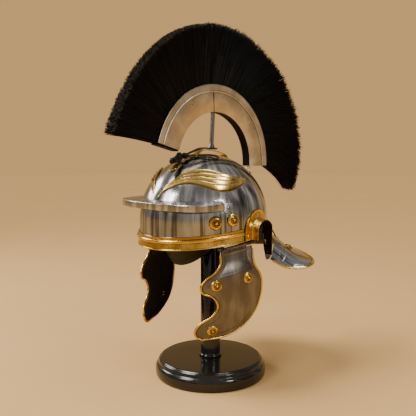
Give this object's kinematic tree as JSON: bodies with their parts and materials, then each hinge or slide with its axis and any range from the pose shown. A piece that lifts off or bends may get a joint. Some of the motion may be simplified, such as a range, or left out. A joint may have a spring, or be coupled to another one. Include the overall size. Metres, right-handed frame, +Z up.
{
  "type": "roman legionary helmet on a display stand",
  "caption": "Steel legionary helmet with brass fittings, brow guard, hinged cheek guards, flared neck guard and an upright black plume, on a turned stand.",
  "frame": {"origin": "on the floor, at the middle of the underside of the stand", "axes": "+Z up, -Y to the front of the helmet, +X to the wearer's left"},
  "size_m": [0.2816, 0.4784, 0.6332],
  "materials": {
    "steel": "polished plate with soft handling marks",
    "crest_steel": "polished plate that reads warm",
    "brass": "polished, darker in the creases",
    "gilt_relief": "bright embossed relief",
    "black_lacquered_wood": "gloss black lacquer",
    "black_leather": "matt black",
    "black_bristle": "matt dyed bristle"
  },
  "bodies": {
    "stand_and_helmet": {"skull_bowl": "steel", "neck_guard": "steel", "brow_guard": "steel", "crest_post": "steel", "crest_ring": "steel", "neck_ring": "steel", "brow_guard_rivet_left": "steel", "brow_guard_rivet_right": "steel", "hinge_front_left": "steel", "hinge_front_right": "steel", "hinge_rear_left": "steel", "hinge_rear_right": "steel", "hinge_pin_left": "steel", "hinge_pin_right": "steel", "crest_plate_rear_left": "crest_steel", "crest_plate_rear_right": "crest_steel", "crest_plate_front_left": "crest_steel", "crest_plate_front_right": "crest_steel", "neck_guard_edging": "brass", "front_band": "brass", "crown_keeper": "brass", "crest_eyelet": "brass", "ear_guard_left": "brass", "ear_guard_right": "brass", "skull_rosette_front_left": "brass", "skull_rosette_front_right": "brass", "skull_rosette_rear_left": "brass", "skull_rosette_rear_right": "brass", "ear_rivet_top_left": "brass", "ear_rivet_top_right": "brass", "ear_rivet_front_left": "brass", "ear_rivet_front_right": "brass", "neck_rosette_left": "brass", "neck_rosette_right": "brass", "crest_rivet_front_left": "brass", "crest_rivet_front_right": "brass", "crest_rivet_rear_left": "brass", "crest_rivet_rear_right": "brass", "eyebrow_left": "gilt_relief", "eyebrow_right": "gilt_relief", "stand_base": "black_lacquered_wood", "stand_post": "black_lacquered_wood", "crest_core": "black_lacquered_wood", "brow_pad": "black_leather", "crest_lace": "black_leather", "rear_tie": "black_leather", "plume": "black_bristle"},
    "left_cheek_guard": {"cheek_guard_left": "steel", "cheek_edging_left": "brass", "cheek_rosette_front_left": "brass", "cheek_rosette_rear_left": "brass", "cheek_rosette_low_left": "brass"},
    "right_cheek_guard": {"cheek_guard_right": "steel", "cheek_edging_right": "brass", "cheek_rosette_front_right": "brass", "cheek_rosette_rear_right": "brass", "cheek_rosette_low_right": "brass"}
  },
  "joints": [
    {"name": "left_cheek_hinge", "type": "hinge", "parent": "stand_and_helmet", "child": "left_cheek_guard", "pos_m": [0.0949, -0.0707, 0.2491], "axis": [-0.1361, -0.9854, -0.102], "range_deg": [-8, 75]},
    {"name": "right_cheek_hinge", "type": "hinge", "parent": "stand_and_helmet", "child": "right_cheek_guard", "pos_m": [-0.0949, -0.0707, 0.2491], "axis": [-0.1361, 0.9854, 0.102], "range_deg": [-8, 75]}
  ]
}
